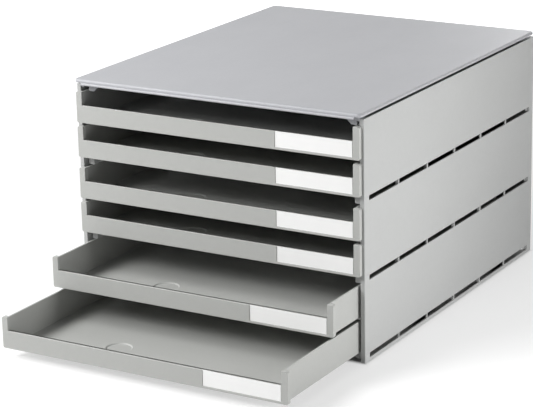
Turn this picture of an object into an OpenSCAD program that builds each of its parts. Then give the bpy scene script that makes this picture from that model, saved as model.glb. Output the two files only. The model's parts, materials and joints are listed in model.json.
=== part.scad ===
// Desktop file drawer unit.
// Two slotted side panels carry a top plate, two shelves, a base plate and a back panel.
// Six open-fronted trays slide between the panels: one on each shelf or base plate, and
// one above it on a pair of moulded runners.
// Millimetres. X to the right, Y to the back, Z up. The origin is at the bottom centre of
// the unit as it stands here, with its two lowest trays pulled out.

/* [Housing] */
// Overall width across the two side panels
body_w = 330; // [270:1:400]
// Depth of the side panels
body_d = 400; // [330:1:490]
// Height from one row of slots to the next, which holds two trays
module_h = 80.3; // [66:0.1:98]
// Full thickness of a side panel at its end flanges and upper band
panel_t = 4.8; // [3.9:0.1:6]
// Thickness of the outer skin between the end flanges
skin_t = 2; // [1.6:0.1:2.6]
// Rounding of a panel's outer upright edges
panel_edge_r = 0.8; // [0.5:0.1:1.5]
// Height of the panels' lower edges above the desk
panel_lift = 0.6; // [0.3:0.1:1.5]
// Height of the panels' upper edges above the last module
panel_rise = 2; // [1.5:0.1:3]
// Height of the thick band along a panel's upper edge
top_band_h = 10; // [8:0.5:14]
// Height of the thin lip left along the band's outer side
top_lip_h = 3; // [2.4:0.1:4]
// Thickness of that lip
top_lip_t = 1.6; // [1.2:0.1:2]

/* [Slots and tongues] */
// Height of the first row of slots above the panel's lower edge
slot_sill = 3.4; // [2.5:0.1:6]
// Height of a slot
slot_h = 5.1; // [4.2:0.1:5.4]
// Distance from a panel's front or rear edge to the end of the row
slot_end = 10; // [8:0.5:14]
// Width of the bar between two slots
slot_bar = 1.8; // [1.2:0.1:4]
// Number of slots in a row
slots_per_row = 6; // [3:1:9]
// Thickness of the tongues that sit in the slots, under their upper edge
tongue_t = 1; // [0.8:0.1:1.4]
// Reach of a tongue into its slot
tongue_in = 0.5; // [0.4:0.1:1]
// Reach of the ribs that carry a plate's edge between the slots
rib_out = 1.6; // [1.2:0.1:2.4]
// Clearance between fixed pieces that plug together
fit_gap = 0.2; // [0.1:0.05:0.4]

/* [Shelves and base] */
// Thickness of a shelf or base plate
plate_t = 2; // [1.6:0.1:2.6]
// Height of a plate's upper face above the sill of its slots
plate_rise = 5.9; // [5.6:0.1:7]
// Thickness of the stiffening ribs under a plate
stiffener_t = 2.2; // [1.6:0.1:3]
// Distance from the unit's side to a stiffening rib
stiffener_inset = 18; // [16:0.5:30]
// Height of a stiffening rib below its plate
stiffener_h = 3.5; // [2:0.1:3.6]
// Distance from the panels' front edge to the stiffening ribs
stiffener_back = 22; // [12:1:60]
// Setback of a plate's front edge from the panels' front edge
plate_setback = 5; // [3:0.5:9]
// Distance from the unit's side to a corner block
block_inset = 6.8; // [6.4:0.1:10]
// Width of a corner block
block_w = 6.8; // [4:0.1:8]
// Length of a corner block from front to back
block_l = 8; // [5:0.5:14]
// Reach of a shelf's corner block below the sill of the slots
block_drop = 3.7; // [0.5:0.1:3.9]
// Rounding of a corner block's lower edges
block_r = 1.2; // [0.6:0.1:1.6]

/* [Top plate] */
// Thickness of the top plate
top_t = 3.8; // [3.2:0.1:5]
// Height of the shadow gap between a side panel and the top plate
top_gap = 2.4; // [1.6:0.1:4]
// Radius of the top plate's corners in plan
top_corner_r = 5; // [4:0.5:12]
// Rounding of the top plate's upper edge
top_edge_r = 2.4; // [1.5:0.1:2.8]
// Reach of the front brow below the top plate
brow_drop = 2.7; // [2:0.1:4]
// Thickness of the front brow
brow_t = 2.4; // [1.8:0.1:3]
// Setback of the brow's front from the top plate's front edge
brow_back = 0.3; // [0.1:0.1:0.8]
// Radius of the bead along the brow's lower edge
bead_r = 1.15; // [0.8:0.05:1.5]
// Distance from the unit's side to the end of the brow
brow_inset = 8.8; // [8:0.1:14]
// Distance from the unit's side to a corner gusset
gusset_inset = 10.6; // [10:0.1:14]
// Width of a gusset's lower edge
gusset_w = 6.4; // [4:0.1:9]
// Reach of a gusset below the panels' upper edge
gusset_drop = 8.2; // [7:0.1:9.5]
// Length of a gusset from front to back
gusset_l = 3.2; // [2:0.1:8]
// Rounding of a gusset's lower outer corner
gusset_r = 1.4; // [0.6:0.1:2]
// Width of the brackets that join the top plate to the side panels
bracket_w = 3.5; // [2.5:0.1:5]
// Length of a bracket
bracket_l = 8; // [6:0.5:12]
// Height of a bracket's lower edge below the panels' upper edge
bracket_drop = 3; // [2.6:0.1:3.6]
// Distance from the panels' front edge to the front brackets
bracket_end = 1; // [0.6:0.1:1.5]
// Distance from the panels' rear edge to the rear brackets
bracket_rear = 24; // [20:1:40]
// Thickness of a bracket's tongue
key_t = 1.8; // [1.2:0.1:2]
// Reach of a bracket's tongue into the side panel
key_in = 1.5; // [1:0.1:2]

/* [Back panel] */
// Thickness of the back panel
back_t = 2.4; // [1.8:0.1:3]
// Distance from the panels' rear edge to the back panel
back_inset = 5.4; // [4:0.1:8]
// Depth of the groove that holds the back panel's edge
groove_in = 2.4; // [1.5:0.1:3]

/* [Trays] */
// Height of the low front lip
lip_h = 18.4; // [14:0.1:22]
// Thickness of the front lip
lip_t = 2.4; // [2:0.1:3]
// Thickness of the side and rear walls
tray_wall = 2.1; // [1.6:0.1:3]
// Thickness of the floor
tray_floor = 2; // [1.8:0.1:3]
// Clearance between a side wall and the side panel
tray_gap = 2.6; // [2:0.1:3]
// Distance from the unit's side to an end post
post_inset = 2.35; // [1.8:0.05:3.5]
// Width of an end post
post_w = 6.85; // [6.3:0.05:7.5]
// Depth of an end post from front to back
post_d = 5.1; // [3.5:0.1:8]
// Rounding of a post's outer corners
post_r = 2; // [1:0.1:3]
// Gap between a closed tray's posts and the side panels
front_gap = 0.5; // [0.3:0.1:1.5]
// Gap between a closed tray's rear wall and the back panel
rear_gap = 6; // [3:0.5:20]
// Rounding of a tray's rear corners
tray_corner_r = 4; // [2.5:0.5:8]
// Radius of the shallow finger dish in the floor
dish_r = 13.5; // [8:0.5:16]
// Depth of the finger dish
dish_depth = 1.2; // [0.6:0.1:1.4]
// Distance from the tray's middle to the finger dish, to the left
dish_side = 57; // [20:1:90]
// Distance from the panels' front edge back to the finger dish
dish_back = 43; // [25:1:80]

/* [Runners and stops] */
// Thickness of a runner
runner_t = 2.6; // [2:0.1:3.5]
// Reach of a runner past the side panel
runner_w = 7.2; // [6:0.1:9]
// Setback of a runner's front end
runner_setback = 3; // [2:0.5:8]
// Clearance between a tray's floor and what it slides on
run_gap = 0.3; // [0.2:0.05:0.5]
// Clearance between a tray's walls and the runners above
head_gap = 1; // [0.6:0.1:2]
// Free height between a module's upper tray and the next row's sill
top_room = 5; // [4.6:0.1:8]
// Travel of a tray from closed to its stop
travel = 290; // [200:1:300]
// Length of a stop lug
lug_l = 8; // [5:0.5:14]
// Height of a stop lug
lug_h = 8; // [5:0.5:12]
// Height of a stop lug above the tray's lower face
lug_rise = 12; // [6:0.5:16]
// Reach of a stop lug past the side wall
lug_out = 4.1; // [3.4:0.1:4.4]
// How far the fifth tray is pulled out
pulled_5 = 54; // [0:1:190]
// How far the sixth tray is pulled out
pulled_6 = 142; // [0:1:190]

/* [Label cards] */
// Width of a label card
label_w = 84.3; // [50:0.1:110]
// Thickness of a label card
label_t = 0.5; // [0.3:0.05:0.9]
// Depth of the recess that holds it
label_recess = 1; // [0.6:0.1:1.4]
// Height of the strip below the recess
label_sill = 2.4; // [1.5:0.1:4]
// Gap between a card's right end and the post
label_gap = 0.9; // [0.3:0.1:2]
// Play at a card's left end
label_play = 0.3; // [0.2:0.1:1]

/* [Feet] */
// Radius of a rubber foot
foot_r = 6.5; // [5:0.5:9]
// Height of the foot's pad
foot_h = 2.6; // [2:0.1:3.4]
// Radius of the stem that plugs into the base
stem_r = 2.5; // [1.8:0.1:3]
// Height of the stem
stem_h = 3; // [2:0.1:3.2]
// Width of the ring round a foot's stem in the boss above it
boss_rim = 1; // [0.8:0.1:2]
// Distance from the unit's side to a foot's axis
foot_side = 24; // [20:1:60]
// Distance from the panels' front or rear edge to a foot's axis
foot_end = 28; // [20:1:60]

/* [Hidden] */
MODULES = 3;
half_w = body_w / 2;
slot_l = (body_d - 2 * slot_end - (slots_per_row - 1) * slot_bar) / slots_per_row;
panel_h = slot_sill + MODULES * module_h + panel_rise;
panel_top = panel_lift + panel_h;
top_z = panel_top + top_gap;
lip_out = front_gap + post_d;
panel_inner = half_w - panel_t;
skin_inner = half_w - skin_t;
// Each module holds two trays of equal height, with a runner between them
tray_step_gap = head_gap + runner_t + run_gap;
tray_h = (module_h - plate_rise - run_gap - tray_step_gap - top_room) / 2;
tray_half = panel_inner - tray_gap;
back_y = body_d - back_inset - back_t;
tray_rear = back_y - rear_gap;
plate_half = panel_inner - fit_gap;
// The plates are wider between the side panels' end flanges
wide_half = skin_inner - fit_gap;
post_edge = half_w - post_inset - post_w;
stop_y = slot_end + travel + run_gap;
label_h = lip_h - label_sill - fit_gap;
block_y = plate_setback + 1;
groove_w = back_t + 2 * fit_gap;
// Width of the thick wall in front of the groove for the back panel
groove_wall = 3;
rear_flange = back_inset + groove_w + groove_wall;
bracket_low = panel_top - bracket_drop;
bracket_ends = [bracket_end, body_d - bracket_rear];
// Distance from a bracket's ends to its tongue
key_end = 1.5;
// Height by which a bead's centre lies behind the brow's front
bead_back = 0.5;
// Height of the small square land below the rounding of the top plate's edge
edge_land = 0.5;
round_fn = 48;
corner_fn = 64;
edge_fn = 32;
dish_fn = 96;
over = 1;
// The unit's own front plane, placed so that the whole stands centred on the origin
front_y = -(body_d - lip_out - pulled_6) / 2;

grey = "#C6C8C5";
top_grey = "#C0C1C5";
paper = "#FBFBFA";
rubber = "#2C2C2D";

// Sill of a row of slots; row 0 is the base's
function row_z(row) = panel_lift + slot_sill + row * module_h;
// Front end of a slot in its row
function slot_y(i) = slot_end + i * (slot_l + slot_bar);
// Trays count from the top; the even ones lie on a plate, the odd ones on runners
function tray_row(n) = floor((6 - n) / 2);
function tray_z(n) = row_z(tray_row(n)) + plate_rise + run_gap
  + (n % 2 == 1 ? tray_h + tray_step_gap : 0);
function pulled(n) = n == 6 ? pulled_6 : n == 5 ? pulled_5 : 0;

// A box between two corners
module block(low, high) {
  translate(low) cube(high - low);
}

// Both ends of the unit's width: the child and its mirror image
module both_sides() {
  children();
  mirror([1, 0, 0]) children();
}

// Everything is drawn from the panels' front edge and set in place here
module placed() {
  translate([0, front_y, 0]) children();
}

// ---- side panels ----

// Plan of a panel: full thickness at its ends, with rounded outer edges, and a skin between
module panel_plan() {
  difference() {
    union() {
      translate([panel_inner, 0]) square([panel_t - panel_edge_r, body_d]);
      translate([panel_inner, panel_edge_r])
        square([panel_t, body_d - 2 * panel_edge_r]);
      for (y = [panel_edge_r, body_d - panel_edge_r])
        translate([half_w - panel_edge_r, y]) circle(panel_edge_r, $fn = round_fn);
    }
    translate([panel_inner - over, slot_end])
      square([panel_t - skin_t + over, body_d - slot_end - rear_flange]);
  }
}

// Thick band under the panel's upper edge, with a thin lip left at its outer side
module upper_band() {
  difference() {
    block([panel_inner, slot_end - over, panel_top - top_band_h],
          [half_w - skin_t / 2, body_d - rear_flange + over, panel_top]);
    block([panel_inner - over, slot_end, panel_top - top_lip_h],
          [half_w - top_lip_t, body_d - bracket_rear - over, panel_top + over]);
  }
}

// The openings of a row
module slot_row(sill) {
  for (i = [0 : slots_per_row - 1])
    block([skin_inner - rib_out - fit_gap, slot_y(i), sill],
          [half_w + over, slot_y(i) + slot_l, sill + slot_h]);
}

// Ribs behind the bars between the slots, which carry a plate's edge
module rib_row(sill) {
  for (i = [1 : slots_per_row - 1])
    block([skin_inner - rib_out, slot_y(i) - slot_bar, sill - slot_sill],
          [half_w - skin_t / 2, slot_y(i), sill + plate_rise - plate_t - fit_gap]);
}

// Pockets for the tongues of the top plate's brackets
module key_pockets() {
  for (y = bracket_ends)
    block([panel_inner - over, y + key_end - fit_gap, bracket_low - fit_gap],
          [panel_inner + key_in + fit_gap, y + bracket_l - key_end + fit_gap,
           bracket_low + key_t + fit_gap]);
}

module side_panel() {
  difference() {
    union() {
      translate([0, 0, panel_lift]) linear_extrude(panel_h) panel_plan();
      upper_band();
      for (row = [0 : MODULES - 1]) {
        rib_row(row_z(row));
        runner(row_z(row) + plate_rise + run_gap + tray_h + head_gap);
      }
    }
    for (row = [0 : MODULES - 1]) slot_row(row_z(row));
    key_pockets();
    block([panel_inner - over, back_y - fit_gap, panel_lift + slot_sill],
          [panel_inner + groove_in, back_y + back_t + fit_gap, panel_top + over]);
  }
}

// Rib that a module's upper tray slides on
module runner(low) {
  block([panel_inner - runner_w, runner_setback, low],
        [half_w - skin_t / 2, tray_rear, low + runner_t]);
}

module side_panel_right() {
  color(grey) placed() side_panel();
}

module side_panel_left() {
  color(grey) placed() mirror([1, 0, 0]) side_panel();
}

// ---- shelves and base ----

// Row of tongues that plug into a side panel
module tongues(low) {
  for (i = [0 : slots_per_row - 1])
    block([skin_inner - rib_out, slot_y(i) + fit_gap, low],
          [skin_inner + tongue_in, slot_y(i) + slot_l - fit_gap, low + tongue_t]);
}

// Block under a plate's front corner, with rounded lower edges
module corner_block(low, ceiling) {
  x = half_w - block_inset - block_w;
  translate([0, block_y + block_l, 0]) rotate([90, 0, 0]) linear_extrude(block_l) {
    translate([x, low + block_r]) square([block_w, ceiling - low - block_r]);
    translate([x + block_r, low]) square([block_w - 2 * block_r, 2 * block_r]);
    for (side = [x + block_r, x + block_w - block_r])
      translate([side, low + block_r]) circle(block_r, $fn = round_fn);
  }
}

// Stiffening ribs under a plate, along both sides
module stiffeners(under) {
  both_sides()
    block([half_w - stiffener_inset, stiffener_back, under - stiffener_h],
          [half_w - stiffener_inset + stiffener_t, back_y - fit_gap, under + plate_t / 2]);
}

module plate(row, block_low) {
  upper = row_z(row) + plate_rise;
  under = upper - plate_t;
  rear = back_y - fit_gap;
  block([-plate_half, plate_setback, under], [plate_half, rear, upper]);
  block([-wide_half, slot_end + fit_gap, under],
        [wide_half, body_d - rear_flange - fit_gap, upper]);
  both_sides() {
    tongues(row_z(row) + slot_h - fit_gap - tongue_t);
    corner_block(block_low, under + plate_t / 2);
  }
  stiffeners(under);
  block([-plate_half, rear - stiffener_t, under - stiffener_h], [plate_half, rear, under + plate_t / 2]);
}

module shelf(row) {
  color(grey) placed() plate(row, row_z(row) - block_drop);
}

module shelf_upper() {
  shelf(2);
}

module shelf_lower() {
  shelf(1);
}

// The base also has a boss over each foot
module base_plate() {
  color(grey) placed() difference() {
    union() {
      plate(0, foot_h);
      at_feet() translate([0, 0, foot_h])
        cylinder(h = row_z(0) + plate_rise - plate_t / 2 - foot_h, r = foot_r + boss_rim,
                 $fn = round_fn);
    }
    at_feet() translate([0, 0, foot_h - over])
      cylinder(h = stem_h + fit_gap + over, r = stem_r + fit_gap / 2, $fn = round_fn);
  }
}

// The children at each foot's axis, or at one of them
module at_feet() {
  for (side = [-1, 1], y = [foot_end, body_d - foot_end])
    translate([side * (half_w - foot_side), y, 0]) children();
}

module foot(side, y) {
  color(rubber) placed() translate([side * (half_w - foot_side), y, 0]) {
    cylinder(h = foot_h, r = foot_r, $fn = round_fn);
    translate([0, 0, foot_h / 2]) cylinder(h = foot_h / 2 + stem_h, r = stem_r, $fn = round_fn);
  }
}

// ---- top plate ----

// One rounded corner of the top plate
module top_corner() {
  rotate_extrude($fn = corner_fn) {
    square([top_corner_r - edge_land, top_t - top_edge_r]);
    translate([0, edge_land]) square([top_corner_r, top_t - top_edge_r - edge_land]);
    square([top_corner_r - top_edge_r, top_t]);
    intersection() {
      translate([top_corner_r - top_edge_r, top_t - top_edge_r]) circle(top_edge_r, $fn = edge_fn);
      square([top_corner_r, top_t]);
    }
  }
}

// Gusset under a front corner: inner side cut at 45 degrees, lower outer corner rounded
module gusset() {
  outer = half_w - gusset_inset;
  low = panel_top - gusset_drop;
  rise = top_z - low;
  translate([0, block_y + gusset_l, 0]) rotate([90, 0, 0]) linear_extrude(gusset_l) {
    polygon([[outer, low + gusset_r], [outer, low + rise + over],
             [outer - gusset_w - rise, low + rise + over], [outer - gusset_w - rise, low + rise],
             [outer - gusset_w, low], [outer - gusset_r, low]]);
    translate([outer - gusset_r, low + gusset_r]) circle(gusset_r, $fn = round_fn);
  }
}

// Brackets whose tongues plug into the side panels' upper edges
module brackets() {
  for (y = bracket_ends) {
    block([plate_half - bracket_w, y, bracket_low], [plate_half, y + bracket_l, top_z + over]);
    block([plate_half - over, y + key_end, bracket_low],
          [panel_inner + key_in, y + bracket_l - key_end, bracket_low + key_t]);
  }
}

module top_plate() {
  front = -lip_out;
  brow_half = half_w - brow_inset;
  bead_z = top_z - brow_drop + bead_r;
  corner_x = half_w - top_corner_r;
  color(top_grey) placed() {
    translate([0, 0, top_z]) hull()
      for (x = [-corner_x, corner_x], y = [top_corner_r - lip_out, body_d - top_corner_r])
        translate([x, y, 0]) top_corner();
    block([-brow_half, front + brow_back, bead_z], [brow_half, front + brow_t, top_z + over]);
    translate([-brow_half, front + bead_r - bead_back, bead_z])
      rotate([0, 90, 0]) cylinder(h = 2 * brow_half, r = bead_r, $fn = round_fn);
    stiffeners(top_z);
    both_sides() {
      brackets();
      gusset();
    }
  }
}

// ---- back panel ----

module back_panel() {
  edge = panel_inner + groove_in - fit_gap;
  inner = plate_half - bracket_w - fit_gap;
  color(grey) placed() {
    block([-edge, back_y, row_z(0) + fit_gap], [edge, back_y + back_t, panel_top - fit_gap]);
    block([-inner, back_y, panel_top - over], [inner, back_y + back_t, top_z - fit_gap]);
  }
}

// ---- trays ----

// Plan of a tray's box with rounded rear corners, drawn in by a wall
module tray_plan(inset) {
  r = tray_corner_r - inset;
  side = tray_half - inset;
  front = -lip_out + (inset > 0 ? lip_t : 0);
  rear = tray_rear - inset;
  translate([-side, front]) square([2 * side, rear - r - front]);
  translate([-side + r, front]) square([2 * (side - r), rear - front]);
  for (x = [-side + r, side - r])
    translate([x, rear - r]) circle(r, $fn = round_fn);
}

// Front outline of an end post, its outer corners rounded
module post_outline() {
  outer = half_w - post_inset;
  translate([post_edge, 0]) square([post_w - post_r, tray_h]);
  translate([post_edge, post_r]) square([post_w, tray_h - 2 * post_r]);
  for (z = [post_r, tray_h - post_r])
    translate([outer - post_r, z]) circle(post_r, $fn = round_fn);
}

module upright(from_y, depth) {
  translate([0, from_y + depth, 0]) rotate([90, 0, 0]) linear_extrude(depth) children();
}

// Lugs that meet the panels' front flanges when a tray is pulled right out
module stop_lug() {
  block([tray_half - over, stop_y, lug_rise], [tray_half + lug_out, stop_y + lug_l, lug_rise + lug_h]);
}

module label_pocket() {
  block([post_edge - label_gap - label_w - label_play, -lip_out - over, label_sill],
        [post_edge, -lip_out + label_recess, lip_h + over]);
}

// Shallow round dish in the floor, with a wall that slopes at 45 degrees
module dish() {
  translate([-dish_side, dish_back, tray_floor - dish_depth])
    cylinder(h = dish_depth + over, r1 = dish_r - dish_depth, r2 = dish_r + over, $fn = dish_fn);
}

module tray_body() {
  difference() {
    union() {
      difference() {
        linear_extrude(tray_h) tray_plan(0);
        translate([0, 0, tray_floor]) linear_extrude(tray_h) tray_plan(tray_wall);
        block([-tray_half - over, -lip_out - over, lip_h],
              [tray_half + over, -front_gap - over, tray_h + over]);
      }
      block([-post_edge - over, -lip_out, 0], [post_edge + over, -lip_out + lip_t, lip_h]);
      both_sides() {
        upright(-lip_out, post_d) post_outline();
        stop_lug();
      }
    }
    label_pocket();
    dish();
  }
}

module tray(n) {
  color(grey) translate([0, front_y - pulled(n), tray_z(n)]) tray_body();
}

module label_card(n) {
  right = post_edge - label_gap;
  color(paper) translate([0, front_y - pulled(n), tray_z(n)])
    block([right - label_w, -lip_out + label_recess - label_t, label_sill],
          [right, -lip_out + label_recess, label_sill + label_h]);
}

side_panel_left();
side_panel_right();
top_plate();
shelf_upper();
shelf_lower();
base_plate();
back_panel();
foot(-1, foot_end);  // foot_front_left
foot(1, foot_end);  // foot_front_right
foot(-1, body_d - foot_end);  // foot_rear_left
foot(1, body_d - foot_end);  // foot_rear_right
tray(1);  // tray_1
tray(2);  // tray_2
tray(3);  // tray_3
tray(4);  // tray_4
tray(5);  // tray_5
tray(6);  // tray_6
label_card(1);  // label_card_1
label_card(2);  // label_card_2
label_card(3);  // label_card_3
label_card(4);  // label_card_4
label_card(5);  // label_card_5
label_card(6);  // label_card_6
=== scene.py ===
"""Looks of a desktop file drawer unit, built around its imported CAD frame.

Metres, in the part's own frame: +X to the right, +Y to the back, +Z up.
"""

import json
import math

import bmesh
import bpy
from mathutils import Matrix, Vector


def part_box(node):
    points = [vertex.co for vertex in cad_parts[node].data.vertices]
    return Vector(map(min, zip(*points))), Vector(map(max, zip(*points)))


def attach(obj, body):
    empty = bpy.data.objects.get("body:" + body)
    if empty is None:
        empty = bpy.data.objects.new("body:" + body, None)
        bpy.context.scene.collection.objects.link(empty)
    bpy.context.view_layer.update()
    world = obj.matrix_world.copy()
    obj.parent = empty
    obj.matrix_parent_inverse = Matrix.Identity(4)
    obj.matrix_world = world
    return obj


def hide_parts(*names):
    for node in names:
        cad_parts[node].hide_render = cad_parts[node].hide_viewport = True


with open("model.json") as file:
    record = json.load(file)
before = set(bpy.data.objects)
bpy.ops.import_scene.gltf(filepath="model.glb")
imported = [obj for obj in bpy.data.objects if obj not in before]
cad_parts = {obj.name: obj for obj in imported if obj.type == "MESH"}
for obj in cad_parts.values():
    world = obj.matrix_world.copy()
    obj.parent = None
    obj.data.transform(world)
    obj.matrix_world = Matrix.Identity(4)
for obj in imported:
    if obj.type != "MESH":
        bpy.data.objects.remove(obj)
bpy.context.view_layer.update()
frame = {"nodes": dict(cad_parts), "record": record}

MM = 0.001
scene = bpy.context.scene
scene.view_settings.view_transform = "Standard"

# ---- camera ----

IMAGE_W = 533
FOCAL_PX = 2119.6
SENSOR_MM = 36
CAMERA_AT = Vector((1.0695, -1.8351, 0.7543))
CAMERA_YAW = math.radians(30.656)
CAMERA_PITCH = math.radians(16.938)
CAMERA_ROLL = math.radians(-1.156)


def make_camera():
    """From a level view along +Y it is turned left, pitched down and rolled about its own axis."""
    data = bpy.data.cameras.new("camera")
    data.sensor_width = SENSOR_MM
    data.lens = SENSOR_MM * FOCAL_PX / IMAGE_W
    data.clip_start = 0.05
    data.clip_end = 60
    camera = bpy.data.objects.new("camera", data)
    scene.collection.objects.link(camera)
    turned = (
        Matrix.Rotation(CAMERA_YAW, 4, "Z")
        @ Matrix.Rotation(math.pi / 2 - CAMERA_PITCH, 4, "X")
        @ Matrix.Rotation(CAMERA_ROLL, 4, "Z")
    )
    camera.matrix_world = Matrix.Translation(CAMERA_AT) @ turned
    scene.camera = camera


# ---- shader nodes ----


class Nodes:
    """A short way to add and join the nodes of a material or of the world.

    Apart from add, each function that makes nodes gives back the output of the last one.
    """

    def __init__(self, owner, ending):
        """Empties the owner's tree and adds the output node, of the kind ending."""
        owner.use_nodes = True
        self.tree = owner.node_tree
        self.tree.nodes.clear()
        self.output = self.add(ending)

    def add(self, kind, values=None, **settings):
        """A new node with its settings, and values for its input sockets."""
        node = self.tree.nodes.new(kind)
        for key, value in settings.items():
            setattr(node, key, value)
        for socket, value in (values or {}).items():
            node.inputs[socket].default_value = value
        return node

    def join(self, source, node, socket):
        self.tree.links.new(source, node.inputs[socket])

    def calc(self, operation, *terms):
        """The result of a math operation on numbers or outputs."""
        node = self.add("ShaderNodeMath", operation=operation)
        for socket, term in enumerate(terms):
            if isinstance(term, (int, float)):
                node.inputs[socket].default_value = term
            else:
                self.join(term, node, socket)
        return node.outputs[0]

    def ramp(self, value, start, end, low, high, kind="LINEAR"):
        """The value, mapped from the range start to end onto the range low to high."""
        limits = {"From Min": start, "From Max": end, "To Min": low, "To Max": high}
        node = self.add("ShaderNodeMapRange", limits, interpolation_type=kind)
        self.join(value, node, "Value")
        return node.outputs["Result"]

    def mix(self, share, first, second):
        """The first shader where the share is 0, the second where it is 1."""
        node = self.add("ShaderNodeMixShader")
        for socket, source in enumerate((share, first, second)):
            self.join(source, node, socket)
        return node.outputs[0]

    def seen_directly(self):
        """1 for camera, glossy and transmission rays, else 0."""
        path = self.add("ShaderNodeLightPath")
        seen = path.outputs["Is Camera Ray"]
        for name in ("Is Glossy Ray", "Is Transmission Ray"):
            seen = self.calc("MAXIMUM", seen, path.outputs[name])
        return seen


class Surface(Nodes):
    """The nodes of a piece's material, round a Principled shader."""

    def __init__(self, name):
        self.material = bpy.data.materials.new(name)
        super().__init__(self.material, "ShaderNodeOutputMaterial")
        self.shader = self.add("ShaderNodeBsdfPrincipled")
        self.join(self.shader.outputs["BSDF"], self.output, "Surface")
        self.place = self.add("ShaderNodeTexCoord").outputs["Object"]

    def noise(self, scale, detail=2.0, roughness=0.5, stretch=(1, 1, 1)):
        """Noise in the piece's own space; stretch multiplies its frequency along each axis."""
        mapping = self.add("ShaderNodeMapping", {"Scale": stretch})
        self.join(self.place, mapping, "Vector")
        pattern = {"Scale": scale, "Detail": detail, "Roughness": roughness}
        node = self.add("ShaderNodeTexNoise", pattern)
        self.join(mapping.outputs["Vector"], node, "Vector")
        return node.outputs["Fac"]

    def spread(self, noise, low, high):
        """Noise between about 0.3 and 0.7, mapped to the range low to high."""
        return self.ramp(noise, 0.3, 0.7, low, high)

    def tint(self, base, amount):
        """The colour base, a constant or an output, made lighter or darker by a factor."""
        node = self.add("ShaderNodeVectorMath", operation="SCALE")
        if isinstance(base, tuple):
            node.inputs[0].default_value = base[:3]
        else:
            self.join(base, node, 0)
        self.join(amount, node, "Scale")
        return node.outputs["Vector"]

    def bump(self, height, depth, strength, below=None):
        """A relief, on top of the relief below if there is one."""
        node = self.add("ShaderNodeBump", {"Distance": depth, "Strength": strength})
        self.join(height, node, "Height")
        if below is not None:
            self.join(below, node, "Normal")
        return node.outputs["Normal"]

    def finish(self, colour, roughness, relief):
        """The material, with these outputs in its shader."""
        self.join(colour, self.shader, "Base Color")
        self.join(roughness, self.shader, "Roughness")
        self.join(relief, self.shader, "Normal")
        return self.material


# ---- materials ----

PLASTIC_IOR = 1.46
PLASTIC_SHINE = 0.42
ROUGHNESS_VARIES = 0.035
# Along a rounded edge the plastic gets a painted highlight, lighter by this factor, and is smoother
# by this much
EDGE_HIGHLIGHT = 1.03
EDGE_SMOOTHER = 0.10


def linear(red, green, blue):
    """A display colour, 0 to 255, as linear light."""

    def channel(value):
        value /= 255
        return value / 12.92 if value <= 0.04045 else ((value + 0.055) / 1.055) ** 2.4

    return (channel(red), channel(green), channel(blue), 1)


def grey(level):
    """A grey in linear light."""
    return (level, level, level, 1)


def moulded_plastic(name, colour, roughness, flow):
    """Moulded plastic: faint clouds, a spark-eroded grain, and rounded edges that are slightly
    polished and carry a painted highlight.
    """
    s = Surface(name)
    s.shader.inputs["IOR"].default_value = PLASTIC_IOR
    s.shader.inputs["Specular IOR Level"].default_value = PLASTIC_SHINE
    edge = s.add("ShaderNodeAttribute", attribute_name="edge").outputs["Fac"]

    clouds = s.spread(s.noise(scale=7, detail=3, roughness=0.55, stretch=flow), 0.982, 1.018)
    mottle = s.spread(s.noise(scale=240, detail=3, roughness=0.6), 0.988, 1.012)
    cloudy = s.tint(s.tint(colour, clouds), mottle)
    # Painted highlight: the colour is made lighter along the rounded edges
    edge_highlighted = s.tint(cloudy, s.ramp(edge, 0, 1, 1, EDGE_HIGHLIGHT))

    rough = s.spread(
        s.noise(scale=32, detail=4, roughness=0.6, stretch=flow),
        roughness - ROUGHNESS_VARIES,
        roughness + ROUGHNESS_VARIES,
    )
    polished = s.calc("MULTIPLY_ADD", edge, -EDGE_SMOOTHER, rough)

    grain = s.bump(s.noise(scale=2100), depth=0.06 * MM, strength=0.55)
    swell = s.noise(scale=26, roughness=0.4, stretch=flow)
    waves = s.bump(swell, depth=0.4 * MM, strength=0.10, below=grain)
    return s.finish(edge_highlighted, polished, waves)


def card_stock(name, colour):
    """Smooth white card with a faint fibre texture."""
    s = Surface(name)
    fibres = s.spread(s.noise(scale=900, detail=4, roughness=0.65, stretch=(1, 1, 4)), 0.985, 1.0)
    rough = s.spread(s.noise(scale=300), 0.52, 0.62)
    felt = s.bump(s.noise(scale=3200, detail=3, roughness=0.6), depth=0.02 * MM, strength=0.35)
    return s.finish(s.tint(colour, fibres), rough, felt)


def rubber(name, colour):
    """Matt dark rubber with a dusty bloom."""
    s = Surface(name)
    bloom = s.spread(s.noise(scale=160, detail=4, roughness=0.6), 0.8, 1.35)
    rough = s.spread(s.noise(scale=500), 0.72, 0.86)
    grain = s.bump(s.noise(scale=1800, detail=3, roughness=0.6), depth=0.08 * MM, strength=0.6)
    return s.finish(s.tint(colour, bloom), rough, grain)


# Frequencies along X, Y and Z: the clouds run with the flow of the plastic
FLOW_PANEL = (1, 0.45, 1.3)
FLOW_TRAY = (0.5, 0.8, 2.0)

MATERIALS = {
    "housing_grey": moulded_plastic("housing_plastic", linear(184, 185, 184), 0.46, FLOW_PANEL),
    "top_grey": moulded_plastic("top_plastic", linear(181, 182, 186), 0.44, FLOW_PANEL),
    "tray_grey": moulded_plastic("tray_plastic", linear(184, 185, 182), 0.45, FLOW_TRAY),
    "card_white": card_stock("card", linear(253, 253, 252)),
    "foot_rubber": rubber("rubber", linear(44, 44, 45)),
}

# ---- pieces ----

# Vertices that are closer than this are one; faces that meet flatter than this are one
SAME_PLACE = 0.002 * MM
SAME_PLANE = math.radians(0.5)
# Edges with a larger angle between their faces are rounded
SHARP = math.radians(35)

# What each kind of node is finished as: ending of the piece's name, rounding of its edges
FINISH = {
    "side_panel": ("moulding", 0.35 * MM),
    "top_plate": ("moulding", 0.3 * MM),
    "shelf": ("moulding", 0.25 * MM),
    "base_plate": ("moulding", 0.25 * MM),
    "back_panel": ("sheet", 0.3 * MM),
    "foot": ("pad", 0.3 * MM),
    "tray": ("moulding", 0.35 * MM),
    "label_card": ("insert", 0.08 * MM),
}

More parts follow.
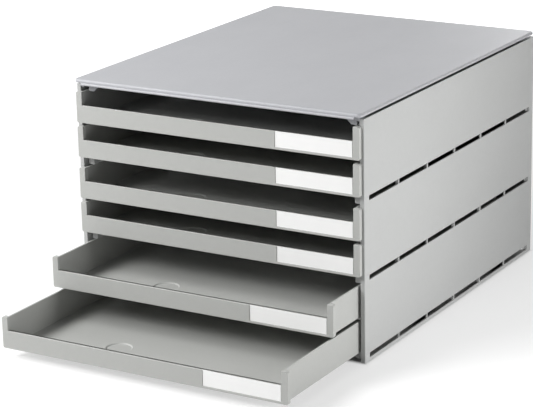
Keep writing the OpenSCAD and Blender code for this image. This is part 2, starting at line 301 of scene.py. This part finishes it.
body_of_node = {
    node: body
    for body, nodes in frame["record"]["behaviour"]["bodies"].items()
    for node in nodes
}


def is_sharp(edge):
    """An edge between two faces that is to be rounded."""
    return edge.is_manifold and edge.calc_face_angle(0) > SHARP


def softened(node, radius):
    """A copy of a CAD node's mesh with flat faces joined and sharp edges rounded.

    The middle line of each rounding is marked in the attribute edge, used for the plastic's painted
    edge highlight.
    """
    shape = bmesh.new()
    shape.from_mesh(frame["nodes"][node].data)
    bmesh.ops.remove_doubles(shape, verts=shape.verts, dist=SAME_PLACE)
    bmesh.ops.dissolve_limit(
        shape, angle_limit=SAME_PLANE, verts=shape.verts, edges=shape.edges
    )
    made = bmesh.ops.bevel(
        shape,
        geom=[edge for edge in shape.edges if is_sharp(edge)],
        offset=radius,
        offset_type="OFFSET",
        segments=2,
        profile=0.5,
        affect="EDGES",
        clamp_overlap=False,
        miter_outer="SHARP",
        miter_inner="SHARP",
    )
    layer = shape.verts.layers.float.new("edge")
    rounding = set(made["faces"])
    for vert in shape.verts:
        if all(face in rounding for face in vert.link_faces):
            vert[layer] = 1.0
    mesh = bpy.data.meshes.new(node + "_mesh")
    shape.to_mesh(mesh)
    shape.free()
    mesh.shade_smooth()
    return mesh


def finish_piece(node, suffix, slot, radius):
    """Makes the visible piece that stands for a CAD node."""
    piece = bpy.data.objects.new(f"{node}_{suffix}", softened(node, radius))
    scene.collection.objects.link(piece)
    piece.data.materials.append(MATERIALS[slot])
    even = piece.modifiers.new("even_normals", "WEIGHTED_NORMAL")
    even.keep_sharp = True
    even.weight = 100
    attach(piece, body_of_node[node])
    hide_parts(node)


def finish_pieces():
    slots = {part["node"]: part["material_slot"] for part in frame["record"]["subparts"]}
    for node in sorted(frame["nodes"]):
        kind = next(kind for kind in FINISH if node.startswith(kind))
        suffix, radius = FINISH[kind]
        finish_piece(node, suffix, slots[node], radius)


# ---- floor ----

FLOOR_HALF = 12
# The floor where it is seen, and the floor as it throws light back
FLOOR_PALE = 0.5
FLOOR_BOUNCE = 0.8
# White added beside the unit, which grows to 1 over this range of distances
FLOOR_GLOW = 0.55
FLOOR_FADE = (0.25, 0.9)
# No white is added under the unit; it comes in from this far inside its outline to this far outside
UNDER_EDGE = (-6 * MM, 4 * MM)


def floor_glow(s):
    """How much white is added to the floor, from the distance to the unit's footprint."""
    low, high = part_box("side_panel_left")[0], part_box("side_panel_right")[1]
    split = s.add("ShaderNodeSeparateXYZ")
    s.join(s.add("ShaderNodeNewGeometry").outputs["Position"], split, 0)
    past = []
    for axis in range(2):
        off_middle = s.calc("SUBTRACT", split.outputs[axis], (low[axis] + high[axis]) / 2)
        away = s.calc("ABSOLUTE", off_middle)
        past.append(s.calc("SUBTRACT", away, (high[axis] - low[axis]) / 2))
    distance = s.calc("MAXIMUM", *past)
    beside = s.ramp(distance, *UNDER_EDGE, 0, 1, kind="SMOOTHSTEP")
    white = s.ramp(distance, *FLOOR_FADE, FLOOR_GLOW, 1, kind="SMOOTHSTEP")
    return s.calc("MULTIPLY", beside, white)


def floor_material():
    """Pale floor with soft shadows that runs into white where seen, but stays dark under the unit."""
    material = bpy.data.materials.new("floor")
    material.cycles.emission_sampling = "NONE"
    s = Nodes(material, "ShaderNodeOutputMaterial")
    pale = s.add("ShaderNodeBsdfDiffuse", {"Color": grey(FLOOR_PALE)})
    bounce = s.add("ShaderNodeBsdfDiffuse", {"Color": grey(FLOOR_BOUNCE)})
    glow = s.add("ShaderNodeEmission")
    s.join(floor_glow(s), glow, "Strength")
    seen = s.add("ShaderNodeAddShader")
    s.join(pale.outputs[0], seen, 0)
    s.join(glow.outputs[0], seen, 1)
    s.join(s.mix(s.seen_directly(), bounce.outputs[0], seen.outputs[0]), s.output, "Surface")
    return material


def make_floor():
    mesh = bpy.data.meshes.new("floor")
    square = ((-1, -1), (1, -1), (1, 1), (-1, 1))
    corners = [(x * FLOOR_HALF, y * FLOOR_HALF, 0) for x, y in square]
    mesh.from_pydata(corners, [], [(0, 1, 2, 3)])
    mesh.materials.append(floor_material())
    floor = bpy.data.objects.new("floor", mesh)
    scene.collection.objects.link(floor)


# ---- light ----

WORLD_FILL = 0.08


def make_world():
    """White where it is seen; for everything else a weak even fill."""
    world = bpy.data.worlds.new("world")
    scene.world = world
    s = Nodes(world, "ShaderNodeOutputWorld")
    fill = s.add("ShaderNodeBackground", {"Color": grey(1), "Strength": WORLD_FILL})
    white = s.add("ShaderNodeBackground", {"Color": grey(1), "Strength": 1})
    s.join(s.mix(s.seen_directly(), fill.outputs[0], white.outputs[0]), s.output, "Surface")


def softbox(name, at, aim, size, watts):
    """A soft rectangular light, with its width and height, that isn't seen itself."""
    data = bpy.data.lights.new(name, "AREA")
    data.shape = "RECTANGLE"
    data.size, data.size_y = size
    data.energy = watts
    lamp = bpy.data.objects.new(name, data)
    lamp.location = at
    direction = Vector(aim) - Vector(at)
    lamp.rotation_euler = direction.to_track_quat("-Z", "Y").to_euler()
    lamp.visible_camera = False
    scene.collection.objects.link(lamp)


def make_light():
    """A key light from the front left, and weaker ones from above, from each side and behind."""
    trays = (0, -0.15, 0.12)
    right_panel = (0.16, -0.08, 0.12)
    middle = (0, 0, 0.12)
    back = (0, 0.2, 0.12)
    softbox("key_front_left", at=(-1.0, -1.36, 1.2), aim=trays, size=(1.0, 0.6), watts=26.5)
    softbox("overhead_left", at=(-1.0, -0.58, 1.5), aim=trays, size=(0.9, 0.7), watts=14.5)
    softbox("right_side", at=(0.72, -0.08, 0.14), aim=right_panel, size=(0.2, 0.4), watts=3.1)
    softbox("left_side", at=(-1.5, -0.3, 0.5), aim=middle, size=(0.8, 0.6), watts=4)
    softbox("rear", at=(-0.1, 2.3, 0.8), aim=back, size=(1.2, 0.9), watts=16)


make_camera()
finish_pieces()
make_floor()
make_world()
make_light()
